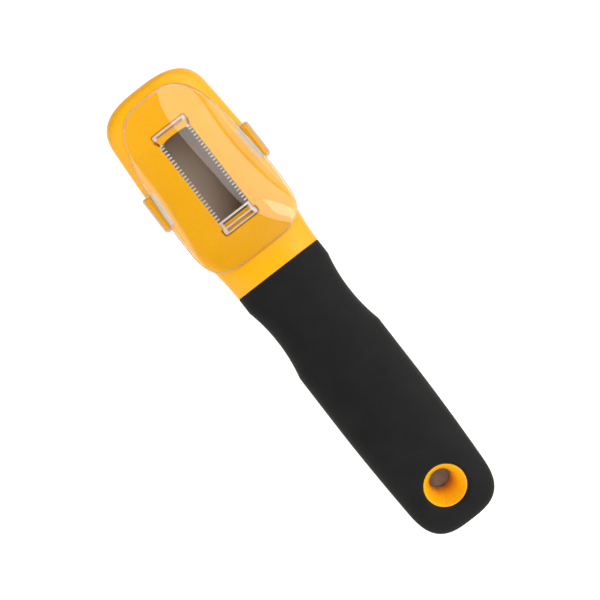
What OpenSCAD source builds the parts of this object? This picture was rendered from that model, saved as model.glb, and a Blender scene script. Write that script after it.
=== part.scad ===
// Hand-held corn peeler with a clear clip-on blade cover.
// It lies on its back: +Y points to the tip of the head, +Z out of the blade face,
// and the origin is on the resting surface, under the middle of the length.

/* [Overall] */
// Length from the heel of the grip to the tip of the head
overall_length = 185; // [176:1:200]
// Length of the bare head and collar, ahead of the grip
head_length = 77.5; // [76:0.5:84]

/* [Head] */
// Width of the head at its widest, beside the blade
head_width = 41.8; // [41:0.1:45]
// Width where the rounded tip starts
tip_width = 39.9; // [39:0.1:41]
// Length of the rounded tip
tip_round = 13.5; // [11:0.5:16]
// Height of the blade face at its lowest point
face_height = 12; // [10:0.5:15]
// Radius of the hollow along the face, which hugs the cob
dish_radius = 110; // [95:5:150]
// Height of the lip round the tip above the blade face
lip_height = 1.2; // [0.6:0.1:2]
// Side wall of the hollow head
head_wall = 2.2; // [1.6:0.1:3]
// Thickness of the face plate that holds the blade
face_plate = 2.4; // [2.2:0.1:3.4]

/* [Collar] */
// Width of the collar where it meets the grip
collar_width = 33.7; // [31:0.1:36]
// Height of the top of the collar
collar_top = 18.4; // [17:0.2:20]
// Height of the underside of the collar
collar_low = 1; // [0.4:0.1:2]
// Solid length of the collar, from the grip to the hollow of the head
collar_solid = 15; // [12:0.5:17]

/* [Grip] */
// Width of the grip at its widest
grip_width = 33.8; // [33:0.1:38]
// Width of the grip where its rounded heel starts
heel_width = 31.9; // [30:0.1:34]
// Length of the rounded heel
heel_round = 16; // [13:0.5:17]
// Thickness of the grip at its fullest
grip_thickness = 21; // [19:0.2:24]
// Distance from the front edge of the grip back to its fullest section
grip_full_at = 56; // [45:1:62]
// Height of the top of the heel, before it rounds off
heel_top = 16.2; // [15.4:0.1:17]
// Height of the underside of the heel, before it rounds off
heel_low = 1; // [0.4:0.1:2]
// Distance from the front edge of the grip back to each finger hollow
hollow_at = 5.9; // [4:0.1:10]
// Length of each finger hollow
hollow_length = 27.8; // [20:0.2:34]
// Depth of each finger hollow
hollow_depth = 1.65; // [0.8:0.05:2.4]
// Radius of the edge of the grip round the hang hole
hole_edge = 1.2; // [0.6:0.1:1.6]

/* [Core inside the grip] */
// Width of the tang
tang_width = 20; // [16:0.5:24]
// Thickness of the tang
tang_thickness = 8; // [6:0.2:9]
// Diameter of the holes that lock the grip to the tang
lock_hole = 8; // [5:0.5:10]
// Number of lock holes
lock_count = 3; // [1:1:4]

/* [Hang hole] */
// Distance from the heel to the middle of the mouth of the hang hole
hole_from_heel = 15; // [14:0.1:18]
// Diameter of the straight bore
hole_bore = 8.2; // [6:0.1:9]
// Length of the straight bore
hole_straight = 3.2; // [2.6:0.1:3.8]
// Diameter of the flared mouth
hole_mouth = 14.4; // [12:0.1:15]
// Radius of the flare below the mouth
hole_flare = 14; // [12:0.5:16]
// Radius of the flare at the underside
foot_flare = 4.5; // [4:0.1:6]
// Wall of the eyelet outside its mouth
eyelet_wall = 0.4; // [0.3:0.1:1]
// Depth of the eyelet below the surface of the grip
eyelet_recess = 1; // [0.8:0.1:1.5]
// Lean of the hang hole towards the heel, in degrees
hole_tilt = 15; // [10:0.5:18]

/* [Blade] */
// Distance from the front edge of the grip to the middle of the blade
blade_at = 40.6; // [40:0.1:43]
// Length of the blade over its end loops
blade_length = 41.6; // [36:0.2:44]
// Thickness of the steel
blade_thickness = 0.6; // [0.4:0.1:0.8]
// Width of the window in the face plate
window_width = 13; // [11:0.1:15]
// Depth of the top of the blade below the face
blade_depth = 0.8; // [0.6:0.1:1]
// Width of each side rail that is moulded into the face plate
rail_width = 1.6; // [1:0.1:2.4]
// Length of each end loop along the tool
loop_length = 2.35; // [2:0.05:3]
// Width of each end loop across the tool
loop_width = 13.6; // [12:0.1:15]
// Radius of the corners of each end loop
loop_corner = 0.6; // [0.3:0.1:1]
// Length of the slots at each end, across the tool
slot_width = 10.8; // [8:0.1:11.5]
// Opening of the slot in each loop, along the tool
slot_opening = 0.65; // [0.5:0.05:1.2]
// Opening of the wider slot between each loop and its cross bar
neck_opening = 1.25; // [0.8:0.05:1.6]
// Width of the cross bar beside the cutting slot
bar_width = 1.3; // [1:0.1:2]
// Width of the relief in the window beside the bar at the tip end
relief_width = 1.1; // [0.6:0.1:1.4]
// Length of that relief along the tool
relief_length = 3.1; // [1.5:0.1:4]
// Pitch of the teeth
tooth_pitch = 1.32; // [1:0.02:2]
// Length of the teeth
tooth_length = 1.25; // [0.8:0.05:1.8]
// Width of the tip of each tooth
tooth_tip = 0.3; // [0.2:0.05:0.4]
// Width of the gap at the root between two teeth
tooth_gullet = 0.3; // [0.2:0.05:0.4]

/* [Cover] */
// Length of the clear cover
cover_length = 64.4; // [62:0.2:66]
// Width of the clear cover at its widest
cover_width = 40.6; // [39:0.2:42]
// Distance from the lower edge of the cover to its widest line
cover_wide_at = 21.5; // [18:0.5:26]
// Distance from the front edge of the grip to the lower edge of the cover
cover_at = 8.5; // [7.5:0.1:9.6]
// How much each side of the cover draws in by its upper edge
cover_taper = 2.2; // [1:0.1:3]
// Height of the crown of the cover above the blade face
cover_crown = 10.5; // [8:0.2:14]
// Wall of the cover
cover_wall = 1.3; // [1:0.1:1.8]
// Length of each clip along the tool
clip_length = 13.8; // [10:0.2:18]
// Distance from the middle of the blade back to the middle of the clips
clip_back = 0.8; // [0:0.1:2]
// Thickness of the leg of each clip
clip_leg = 1.25; // [1:0.05:1.8]
// Height of the leg of each clip
clip_drop = 8; // [5:0.2:9]
// Radius of the outer corners of each clip
clip_corner = 1; // [0.5:0.1:1.2]
// Width of the rib at the root of each clip
clip_rib = 2; // [1.4:0.1:2.4]
// Height of the rib above the bridge of each clip
clip_rise = 2; // [1:0.2:3]

/* [Fits] */
// Clearance round the rails of the blade in their seat
seat_gap = 0.05; // [0.03:0.01:0.1]
// Gap round each end loop of the blade in its pocket
loop_gap = 0.35; // [0.2:0.05:0.5]
// Clearance between the cover and the head
cover_gap = 0.35; // [0.3:0.05:0.5]

/* [Hidden] */
$fn = 96;
eps = 0.01;

// Places along the tool
tip_y = overall_length / 2;
heel_y = -overall_length / 2;
collar_y = tip_y - head_length;
blade_y = collar_y + blade_at;
wide_ahead = 7.5;
wide_y = blade_y + wide_ahead;
tip_start_y = tip_y - tip_round;
heel_start_y = heel_y + heel_round;
full_y = collar_y - grip_full_at;
hollow_y = collar_y - hollow_at - hollow_length / 2;
hole_y = heel_y + hole_from_heel;

// Shapes of the cross-sections: a higher power is squarer
grip_power = 2.7;
head_power = 5;
cavity_power = 7;
tip_power = 3;
tip_roll_power = 5;
heel_power = 3.1;
heel_roll_power = 2.8;
droop_power = 1.7;
cover_tip_power = 3.4;
cover_foot_power = 4.2;
arch_power = 2;
arch_edge_power = 2;
arch_run_power = 3;

// Smaller shapes of the head and grip
head_waist = 5;
back_trim = 3;
tip_edge_drop = 2;
square_run = 20;
dish_run = 18;
flare_lead = 0.3;
flare_reach = 0.8;
hole_crown = 0.5;

// Counts of facets
body_sides = 44;
cavity_sides = 28;
cover_sides = 64;
run_steps = 13;
cavity_steps = 8;
front_steps = 2;
hollow_steps = 8;
back_steps = 11;
round_steps = 9;
round_end = 82;
dome_rings = 9;
crown_share = 0.02;

function mix(a, b, t) = a + (b - a) * t;
function clamp(t) = max(0, min(1, t));
function smooth(t) = let (c = clamp(t)) c * c * (3 - 2 * c);
function power(v, n) = sign(v) * pow(abs(v), 2 / n);

// Face and outlines of the head, by distance along the tool
function face(y) = face_height + dish_radius - sqrt(pow(dish_radius, 2) - pow(y - blade_y, 2));
function flare(t) = mix(smooth(t / flare_reach), clamp(t), flare_lead);
function head_half(y) = y < wide_y
  ? mix(collar_width, head_width, flare((y - collar_y) / (wide_y - collar_y))) / 2
  : mix(head_width, tip_width, (y - wide_y) / (tip_start_y - wide_y)) / 2;
function lip(y) = lip_height * smooth((y - collar_y - collar_solid) / (blade_at - collar_solid));
function head_top(y) = mix(collar_top, face(y) + lip(y), smooth((y - collar_y) / dish_run));
function squareness(y) = smooth((y - collar_y) / square_run);

// One ring across the tool: an oval with separate upper and lower heights
function ring(y, half, low, waist, top, n, sides) = [
  for (i = [0:sides - 1])
    let (a = 360 * (i + 0.5) / sides)
      [half * power(cos(a), n), y, waist + (sin(a) > 0 ? top - waist : waist - low) * power(sin(a), n)]
];
function head_ring(y, half, top) = ring(
  y, half, mix(collar_low, -back_trim, squareness(y)),
  mix((collar_top + collar_low) / 2, head_waist, squareness(y)),
  top, mix(grip_power, head_power, squareness(y)), body_sides);
function backwards(list) = [for (i = [len(list) - 1:-1:0]) list[i]];
function run(from, to, steps) = [for (i = [0:steps]) mix(from, to, i / steps)];
function run_to(from, to, steps) = [for (i = [0:steps - 1]) mix(from, to, i / steps)];
function round_angles() = [for (i = [1:round_steps]) round_end * i / round_steps];
function reach(a, n) = power(sin(a) / sin(round_end), n);

// Grip outlines, by distance along the tool
function full_share(y) = (collar_y - y) / grip_full_at;
function droop(y) = pow(max(0, (full_y - y) / (full_y - heel_start_y)), droop_power);
function hollow_radius() = (pow(hollow_length / 2, 2) + pow(hollow_depth, 2)) / (2 * hollow_depth);
function hollow(y) = max(0, sqrt(max(0, pow(hollow_radius(), 2) - pow(y - hollow_y, 2)))
  - hollow_radius() + hollow_depth);
function grip_half(y) = (y > full_y
  ? mix(collar_width, grip_width, smooth(full_share(y)))
  : mix(grip_width, heel_width, droop(y))) / 2 - hollow(y);
function grip_top(y) = y > full_y
  ? mix(collar_top, grip_thickness, smooth(full_share(y)))
  : mix(grip_thickness, heel_top, droop(y));
function grip_low(y) = y > full_y
  ? mix(collar_low, 0, smooth(full_share(y)))
  : mix(0, heel_low, droop(y));
function grip_ring(y, half, low, top) = ring(y, half, low, (low + top) / 2, top, grip_power, body_sides);
eyelet_foot = grip_low(hole_y) + eyelet_recess;
eyelet_radius = hole_mouth / 2 + eyelet_wall;
tang_z = (collar_top + collar_low) / 2;

// Blade plan
neck_length = neck_opening + bar_width;
opening_length = blade_length - 2 * (loop_length + neck_length);
loop_slot_at = (blade_length - loop_length) / 2;
neck_slot_at = opening_length / 2 + bar_width + neck_opening / 2;
tooth_root = 0.3;
tooth_count = floor(opening_length / tooth_pitch);
edge_overlap = 0.1;
opening_width = window_width - 2 * edge_overlap;

// Cover plan
cover_low_y = collar_y + cover_at;
cover_y = cover_low_y + cover_wide_at;
clip_y = blade_y - clip_back;
rib_inset = 0.3;
clip_outer = max(head_half(clip_y), head_half(clip_y + clip_length / 2)) + cover_gap + clip_leg;
clip_top = max(face(clip_y - clip_length / 2), face(clip_y + clip_length / 2)) + cover_gap + cover_wall;

// Closed skin over rings that have the same number of points, from the heel end to the tip end
module loft(rings) {
  sides = len(rings[0]);
  last = len(rings) - 1;
  points = [for (r = rings) each r];
  first_cap = [[for (i = [sides - 1:-1:0]) i]];
  last_cap = [[for (i = [0:sides - 1]) last * sides + i]];
  skin = [
    for (r = [0:last - 1], i = [0:sides - 1])
      let (a = r * sides + i, b = r * sides + (i + 1) % sides)
        each [[a, b, a + sides], [b, b + sides, a + sides]]
  ];
  polyhedron(points, concat(first_cap, last_cap, skin), convexity = 6);
}

// Solid form of the head and collar, before it is hollowed
module head_form() {
  along = [for (y = run(collar_y, tip_start_y, run_steps)) head_ring(y, head_half(y), head_top(y))];
  tip = [
    for (a = round_angles())
      let (y = tip_start_y + tip_round * reach(a, tip_power), roll = power(cos(a), tip_roll_power))
        head_ring(y, head_half(y) * power(cos(a), tip_power),
          mix(face_height - tip_edge_drop, head_top(y), roll))
  ];
  loft(concat(along, tip));
}

// Hollow of the head, open at the back, where the kernels drop out
module head_hollow() {
  inner_round = tip_round - head_wall;
  from_y = collar_y + collar_solid;
  along = [
    for (y = run(from_y, tip_start_y, cavity_steps))
      ring(y, head_half(y) - head_wall, -back_trim - 1, head_waist, face(y) - face_plate,
        cavity_power, cavity_sides)
  ];
  tip = [
    for (a = round_angles())
      let (y = tip_start_y + inner_round * reach(a, tip_power), roll = power(cos(a), tip_roll_power))
        ring(y, (head_half(y) - head_wall) * power(cos(a), tip_power), -back_trim - 1, head_waist,
          mix(face_height - tip_edge_drop, face(y), roll) - face_plate, cavity_power, cavity_sides)
  ];
  loft(concat(along, tip));
}

// Round bar across the tool, concentric with the dished face
module dish(radius) {
  translate([0, blade_y, face_height + dish_radius])
    rotate([0, 90, 0])
      cylinder(r = radius, h = 2 * head_width, center = true, $fn = 360);
}

// Plan shape kept only between two depths below the dished face
module between(depth, deeper) {
  intersection() {
    translate([0, blade_y, 0])
      linear_extrude(collar_top + face_height)
        children();
    difference() {
      dish(dish_radius + deeper);
      dish(dish_radius + depth);
    }
  }
}

// Outline of the cover, grown by a margin
module cover_plan(margin) {
  polygon([for (i = [0:cover_sides - 1]) cover_point(360 * i / cover_sides, margin)]);
}

// Reach and squareness of that outline ahead of its widest line and behind it
function cover_reach(along) = along > 0 ? cover_length - cover_wide_at : cover_wide_at;
function cover_power(along) = along > 0 ? cover_tip_power : cover_foot_power;
function cover_point(a, margin) =
  let (n = cover_power(sin(a)), up = power(sin(a), n))
    [(cover_width / 2 - cover_taper * max(0, up) + margin) * power(cos(a), n),
      (cover_reach(up) + margin) * up];

function cover_half(along, margin) =
  let (n = cover_power(along), up = along / (cover_reach(along) + margin))
    (cover_width / 2 - cover_taper * max(0, up) + margin) * pow(1 - pow(abs(up), n), 1 / n);

// Recess that seats the cover and its clips and leaves the lip round the tip
module cover_recess() {
  intersection() {
    linear_extrude(2 * collar_top) {
      translate([0, cover_y])
        cover_plan(cover_gap);
      translate([0, clip_y])
        square([2 * head_width, clip_length + 2 * cover_gap], center = true);
    }
    dish(dish_radius);
  }
}

// Rectangle with round corners
module round_plate(width, length, corner) {
  square([width - 2 * corner, length], center = true);
  square([width, length - 2 * corner], center = true);
  for (x = [-1, 1], y = [-1, 1])
    translate([x * (width / 2 - corner), y * (length / 2 - corner)])
      circle(corner);
}

// Both end loops with what joins them, grown by a margin
module loop_plate(margin) {
  round_plate(loop_width + 2 * margin, blade_length + 2 * margin, loop_corner + margin);
}

// Plan of the steel blade inside its outer edge
module blade_outline(margin) {
  rails = [window_width + 2 * rail_width, opening_length + 2 * bar_width];
  square([rails[0] + 2 * margin, rails[1] + 2 * margin], center = true);
  loop_plate(margin);
}

// Slots at both ends of the blade: a narrow one in the loop, and a wider one beside the cross bar
module end_slots(margin) {
  for (end = [-1, 1]) {
    translate([0, end * loop_slot_at])
      square([slot_width - 2 * margin, slot_opening - 2 * margin], center = true);
    translate([0, end * neck_slot_at])
      square([slot_width - 2 * margin, neck_opening - 2 * margin], center = true);
  }
}

// Rows of teeth that point into the cutting slot from both rails
module teeth() {
  root = tooth_pitch - tooth_gullet;
  for (side = [0, 180], i = [0:tooth_count - 1])
    rotate(side)
      translate([-opening_width / 2, (i - (tooth_count - 1) / 2) * tooth_pitch])
        polygon([
          [-tooth_root, -root / 2], [0, -root / 2], [tooth_length, -tooth_tip / 2],
          [tooth_length, tooth_tip / 2], [0, root / 2], [-tooth_root, root / 2]
        ]);
}

module blade_plan() {
  difference() {
    blade_outline(0);
    square([opening_width, opening_length], center = true);
    end_slots(0);
  }
  teeth();
}

// Small wedges that free the corners of the window at the tip end
module window_relief() {
  far = opening_length / 2 + neck_length;
  for (side = [0, 1])
    mirror([side, 0])
      polygon([
        [window_width / 2 - eps, far], [window_width / 2 - eps, far - relief_length],
        [window_width / 2 + relief_width, far]
      ]);
}

// Window, loop pockets, blade seat and drop-out slot through the face plate
module blade_window() {
  above = -lip_height - eps;
  seat = blade_depth + blade_thickness + seat_gap;
  window = [window_width, opening_length + 2 * neck_length];
  between(above, blade_depth)
    window_relief();
  between(above, seat) {
    square(window, center = true);
    difference() {
      loop_plate(loop_gap);
      square([2 * loop_width, window[1] - 2 * eps], center = true);
    }
  }
  between(blade_depth - seat_gap, seat)
    blade_outline(seat_gap);
  between(blade_depth, 2 * face_plate)
    square([window_width, opening_length], center = true);
}

// Ribs of the face plate that stand in the slots at the ends of the blade
module slot_ribs() {
  between(blade_depth, face_plate - eps)
    end_slots(seat_gap);
}

// Tang of the core, from the collar to the eyelet, with the lock holes
module tang() {
  from_y = collar_y + collar_solid / 2;
  free = collar_y - hole_y - eyelet_radius;
  translate([0, 0, tang_z - tang_thickness / 2])
    linear_extrude(tang_thickness)
      difference() {
        translate([-tang_width / 2, hole_y])
          square([tang_width, from_y - hole_y]);
        for (i = [1:lock_count])
          translate([0, collar_y - free * i / (lock_count + 1)])
            circle(d = lock_hole);
      }
}

// Places a child where the leaning axis of the hang hole leaves the top of the grip
module at_hole() {
  translate([0, hole_y, grip_top(hole_y)])
    rotate([hole_tilt, 0, 0])
      children();
}

// Lining of the hang hole about its axis: a long flare, a straight bore and a short flare
module lining() {
  bore = hole_bore / 2;
  wall = eyelet_radius - bore;
  rise = sqrt(pow(hole_flare, 2) - pow(bore + hole_flare - hole_mouth / 2, 2));
  module flare_wall(radius, height) {
    intersection() {
      square([wall, height]);
      translate([radius, 0])
        circle(radius);
    }
  }
  rotate_extrude()
    translate([bore, -eyelet_recess - rise]) {
      flare_wall(hole_flare, rise);
      translate([0, -hole_straight]) {
        square([wall, hole_straight]);
        mirror([0, 1])
          flare_wall(foot_flare, foot_flare);
      }
    }
}

// Eyelet of the hang hole, trimmed level with the underside of the grip
module eyelet() {
  intersection() {
    at_hole()
      lining();
    translate([-grip_width / 2, heel_y, eyelet_foot])
      cube([grip_width, overall_length, grip_thickness]);
  }
}

module handle_core() {
  color("#fdb825") {
    difference() {
      head_form();
      head_hollow();
      cover_recess();
      blade_window();
      translate([0, 0, -2 * back_trim])
        linear_extrude(2 * back_trim)
          square(2 * overall_length, center = true);
    }
    slot_ribs();
    difference() {
      tang();
      at_hole()
        cylinder(d = hole_mouth, h = 4 * grip_thickness, center = true);
    }
    eyelet();
  }
}

// Soft form of the grip, before the core is taken out of it
module grip_form() {
  hollow_front = hollow_y + hollow_length / 2;
  hollow_back = hollow_y - hollow_length / 2;
  stations = concat(
    run_to(collar_y, hollow_front, front_steps),
    run_to(hollow_front, hollow_back, hollow_steps),
    run(hollow_back, heel_start_y, back_steps));
  along = [for (y = stations) grip_ring(y, grip_half(y), grip_low(y), grip_top(y))];
  heel = [
    for (a = round_angles())
      let (y = heel_start_y - heel_round * reach(a, heel_power), roll = power(cos(a), heel_roll_power),
        middle = (grip_top(y) + grip_low(y)) / 2, rise = (grip_top(y) - grip_low(y)) / 2 * roll)
        grip_ring(y, grip_half(y) * power(cos(a), heel_power), middle - rise, middle + rise)
  ];
  loft(backwards(concat(along, heel)));
}

// Hole in the grip for the eyelet, with a rounded edge at its mouth
module grip_hole() {
  edge_at = -hole_crown - hole_edge;
  cylinder(r = eyelet_radius, h = 4 * grip_thickness, center = true);
  rotate_extrude()
    difference() {
      translate([eyelet_radius - eps, edge_at])
        square([hole_edge + eps, 2 * hole_edge]);
      translate([eyelet_radius + hole_edge, edge_at])
        circle(hole_edge);
    }
}

module grip() {
  color("#2a2b2b")
    difference() {
      grip_form();
      tang();
      at_hole()
        grip_hole();
    }
}

module blade() {
  color("#cfd2d4")
    between(blade_depth, blade_depth + blade_thickness)
      blade_plan();
}

// Dome of the cover: steep walls that follow the dished face, under a shallow arch
module dome() {
  crown = face_height + cover_crown;
  function arch(x, along, margin) =
    let (t = abs(x) / cover_half(along, margin), v = abs(along) / (cover_reach(along) + margin))
      pow((1 - pow(t, arch_power)) * (1 - pow(v, arch_run_power)), 1 / arch_edge_power);
  function share(k) = max(crown_share, sin(90 * k / dome_rings));
  function rise(k, x, along, margin) =
    k == dome_rings ? 0 : k == 0 ? 1 : arch(x, along, margin);
  function skin(margin, top) = [
    for (k = [dome_rings:-1:0])
      [for (i = [0:cover_sides - 1])
        let (p = share(k) * cover_point(360 * i / cover_sides, margin),
          edge = face(cover_y + p[1]) + cover_gap)
          [p[0], cover_y + p[1], mix(edge, top, rise(k, p[0], p[1], margin))]]
  ];
  outer = skin(0, crown);
  inner = skin(-cover_wall, crown - cover_wall);
  loft(concat(backwards(outer), inner));
}

// Plan of the bridge and leg of one clip, from the rib out to the rounded corners
module clip_plan() {
  from = cover_half(clip_y - cover_y, 0) - clip_rib;
  corner_y = clip_length / 2 - clip_corner;
  translate([from, -clip_length / 2])
    square([clip_outer - clip_corner - from, clip_length]);
  translate([from, -corner_y])
    square([clip_outer - from, 2 * corner_y]);
  for (end = [-1, 1])
    translate([clip_outer - clip_corner, end * corner_y])
      circle(clip_corner);
}

// Clip over the right side of the head: root rib, bridge and leg
module clip() {
  half = clip_length / 2;
  along = clip_y - cover_y;
  lean = atan((cover_half(along - half, 0) - cover_half(along + half, 0)) / clip_length);
  translate([0, clip_y, clip_top - cover_wall]) {
    linear_extrude(cover_wall)
      clip_plan();
    translate([0, 0, cover_wall - clip_drop])
      linear_extrude(clip_drop)
        difference() {
          clip_plan();
          translate([0, -clip_length])
            square([clip_outer - clip_leg, 2 * clip_length]);
        }
    translate([cover_half(along, 0) - rib_inset - clip_rib / 2, 0, 0])
      rotate([0, 0, lean])
        linear_extrude(cover_wall + clip_rise)
          square([clip_rib, clip_length - 2 * rib_inset], center = true);
  }
}

module blade_cover() {
  color("#e9eef0", 0.45) {
    dome();
    for (side = [0, 1])
      mirror([side, 0, 0])
        clip();
  }
}

handle_core();
grip();
blade();
blade_cover();
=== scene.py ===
import math

import bmesh
import bpy
import numpy as np
from mathutils import Matrix, Vector


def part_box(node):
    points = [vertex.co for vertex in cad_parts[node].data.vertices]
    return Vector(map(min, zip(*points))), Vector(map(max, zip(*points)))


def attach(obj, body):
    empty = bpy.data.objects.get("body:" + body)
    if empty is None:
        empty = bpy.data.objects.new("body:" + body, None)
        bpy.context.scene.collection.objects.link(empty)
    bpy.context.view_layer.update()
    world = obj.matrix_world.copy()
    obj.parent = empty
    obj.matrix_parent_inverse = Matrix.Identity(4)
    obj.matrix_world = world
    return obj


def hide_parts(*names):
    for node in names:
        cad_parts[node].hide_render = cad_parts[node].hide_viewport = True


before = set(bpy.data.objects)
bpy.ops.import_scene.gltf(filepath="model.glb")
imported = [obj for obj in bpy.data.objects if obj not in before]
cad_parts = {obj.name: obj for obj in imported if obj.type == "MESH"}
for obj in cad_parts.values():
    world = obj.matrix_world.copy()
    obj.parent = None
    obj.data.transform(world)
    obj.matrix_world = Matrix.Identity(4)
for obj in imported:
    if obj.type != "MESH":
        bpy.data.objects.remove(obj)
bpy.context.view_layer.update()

# Sizes are in millimetres, with +Y to the tip of the head and +Z out of the blade face.
MM = 0.001


def node_box(node):
    """Lowest and highest corner of a CAD node, in millimetres."""
    return [np.array(corner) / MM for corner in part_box(node)]


core_box = node_box("handle_core")
grip_box = node_box("grip")
blade_box = node_box("blade")
cover_box = node_box("blade_cover")

# Places along the tool
TIP_Y = core_box[1][1]
HEEL_Y = grip_box[0][1]
COLLAR_Y = grip_box[1][1]
BLADE_Y = (blade_box[0][1] + blade_box[1][1]) / 2
WIDE_AHEAD = 7.5
WIDE_Y = BLADE_Y + WIDE_AHEAD
TIP_ROUND = 13.5
TIP_START_Y = TIP_Y - TIP_ROUND
HEEL_ROUND = 16
HEEL_START_Y = HEEL_Y + HEEL_ROUND
SWELL_RUN = 56
FULL_Y = COLLAR_Y - SWELL_RUN

# Head
HEAD_WIDTH = 41.8
TIP_WIDTH = 39.9
FACE_HEIGHT = 12
DISH_RADIUS = 110
LIP_HEIGHT = 1.2
HEAD_WALL = 2.2
FACE_PLATE = 2.4
HEAD_WAIST = 5
TIP_EDGE_DROP = 2
SQUARE_RUN = 20
DISH_RUN = 18
FLARE_LEAD = 0.3
FLARE_REACH = 0.8
SHOULDER_SOFT = 0.3
BELOW_BASE = 3

# Collar
COLLAR_WIDTH = 33.7
COLLAR_TOP = 18.4
COLLAR_LOW = 1
COLLAR_SOLID = 15
SEAM_GROOVE = 0.22

# Grip
GRIP_WIDTH = 33.8
HEEL_WIDTH = 31.9
GRIP_THICKNESS = grip_box[1][2]
HEEL_TOP = 16.2
HEEL_LOW = 1
HOLLOW_LENGTH = 27.8
HOLLOW_DEPTH = 1.65
HOLLOW_START = 5.9
HOLLOW_Y = COLLAR_Y - HOLLOW_START - HOLLOW_LENGTH / 2

# Hang hole
HOLE_FROM_HEEL = 15
HOLE_Y = HEEL_Y + HOLE_FROM_HEEL
HOLE_BORE = 8.2
HOLE_STRAIGHT = 3.2
HOLE_MOUTH = 14.4
HOLE_FLARE = 14
FOOT_FLARE = 4.5
HOLE_EDGE = 1.2
HOLE_EDGE_TURN = math.radians(75)
HOLE_CROWN = 0.5
HOLE_TILT = math.radians(15)
EYELET_WALL = 0.4
EYELET_RECESS = 1
EYELET_SWING = 0.98

# Blade
BLADE_LENGTH = blade_box[1][1] - blade_box[0][1]
BLADE_DEPTH = 0.8
BLADE_THICKNESS = 0.6
WINDOW_WIDTH = 13
RAIL_WIDTH = 1.6
LOOP_LENGTH = 2.35
LOOP_WIDTH = 13.6
LOOP_CORNER = 0.6
LOOP_GAP = 0.35
SLOT_WIDTH = 10.8
SLOT_OPENING = 1.1
NECK_LENGTH = 2.55
BAR_WIDTH = 0.75
BAR_GAP = 0.6
OPENING_WIDTH = 13.1
OPENING_LENGTH = BLADE_LENGTH - 2 * (LOOP_LENGTH + NECK_LENGTH)
TIP_LOOP = 1.9
TIP_OPENING = 0.8
TIP_BAR = 0.75
ARM_INNER = 5
ARM_OUTER = 5.95
FOOT_ARM = 6.35
FOOT_GAP = 0.55
WELL_DEPTH = 1.9
FOOT_DEPTH = 2.15
RELIEF_WIDTH = 1
RELIEF_LENGTH = 3.1
RELIEF_DEPTH = 2.2
RELIEF_LAP = 0.4
RAIL_OVER = 0.1
APRON_WIDE = 13
APRON_NARROW = 10.6
APRON_START = 1.45
APRON_ARCH = 0.6
APRON_SLANT = 1.65
APRON_RISE = 0.25
APRON_LAP = 0.1
TOOTH_PITCH = 1.32
TOOTH_LENGTH = 1.4
TOOTH_TIP = 0.46
TOOTH_GULLET = 0.68
TOOTH_SHIFT = 0.35
STEEL_BEVEL = 0.07
STEEL_SHARP = math.radians(57)
RAIL_NECK = 0.6
ARM_NECK = 1
TOOTH_NECK = 0.5
SLOT_DEPTH = 9
SEAT_GAP = 0.05

# Cover
COVER_LOW_Y = cover_box[0][1]
COVER_LENGTH = cover_box[1][1] - COVER_LOW_Y
COVER_WIDTH = 40.6
COVER_WIDE_AT = 21.5
COVER_Y = COVER_LOW_Y + COVER_WIDE_AT
COVER_TAPER = 2.2
COVER_TOP = cover_box[1][2]
COVER_WALL = 1.3
COVER_SHELL = 0.5
COVER_SKIRT = 2
RIM_HEIGHT = 1.2
RIM_WIDTH = 0.28
COVER_GAP = 0.35
RIM_GAP = 0.15
CLIP_BACK = 0.8
CLIP_Y = BLADE_Y - CLIP_BACK
CLIP_LENGTH = 13.8
CLIP_OUTER = cover_box[1][0]
CLIP_WALL = 0.75
CLIP_END = 0.45
CLIP_DROP = 8
CLIP_CORNER = 1
CLIP_RIB = 1.6
CLIP_RISE = 2
CLIP_BRIDGE = 0.3
RIB_INSET = 0.6
RIB_END = 0.6
PIECE_GAP = 0.02
CATCH_LENGTH = 12.6
CATCH_DROP = 6.5
CATCH_RISE = 0.28
CATCH_CORNER = 0.5
CATCH_FOOT = 1.2
CATCH_FOOT_RISE = 1.6
CATCH_ROOT = 0.7
CATCH_START = 0.1
CATCH_EDGE = 0.2

# Reach of a cutter past what it cuts, and overlap of solids that are joined
CLEAR = 5
FAR = 60
LAP = 0.02

# Points round a ring of the outside and of the hollow, and round the cover's outline
RING_SIDES = 160
HOLLOW_SIDES = 96
OUTLINE_SIDES = 224

# Shapes of the sections: a higher power is squarer
GRIP_POWER = 2.7
HEAD_POWER = 5
CAVITY_POWER = 7
TIP_POWER = 3
TIP_ROLL_POWER = 5
HEEL_POWER = 3.1
HEEL_ROLL_POWER = 2.8
DROOP_POWER = 1.7
COVER_TIP_POWER = 3.4
COVER_FOOT_POWER = 4.2
ARCH_POWER = 2
ARCH_EDGE_POWER = 1.33
ARCH_RUN_POWER = 3

# Span of a noise value that the materials use
NOISE_RANGE = (0.3, 0.7)

# Floor: half its side, its gap below the tool, and how far the painted shade under pieces reaches
FLOOR_REACH = 3000
FLOOR_GAP = 0.1
CONTACT_REACH = 10
SHADOW_REACH = 45

# Camera: it looks straight down, and the photo spans this width where the tool lies
PHOTO_SPAN = 204
CAMERA_DISTANCE = 900
OBJECT_PLANE = 9
CAMERA_OVER = (-0.48, 2.35)
TOOL_ANGLE = math.radians(52.25)
SENSOR = 36


def mix(a, b, t):
    return a + (b - a) * t


def smooth(t):
    c = np.clip(t, 0, 1)
    return c * c * (3 - 2 * c)


def power(v, n):
    """Sine or cosine of a squarer oval."""
    return np.sign(v) * np.abs(v) ** (2 / n)


def face(y):
    """Height of the dished blade face."""
    return FACE_HEIGHT + DISH_RADIUS - np.sqrt(DISH_RADIUS**2 - (y - BLADE_Y) ** 2)


def cover_reach(along):
    """Distance from the cover's middle to its tip or its foot."""
    return COVER_LENGTH - COVER_WIDE_AT if along > 0 else COVER_WIDE_AT


def cover_power(along):
    """Squareness of the cover's outline towards its tip or its foot."""
    return COVER_TIP_POWER if along > 0 else COVER_FOOT_POWER


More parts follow.
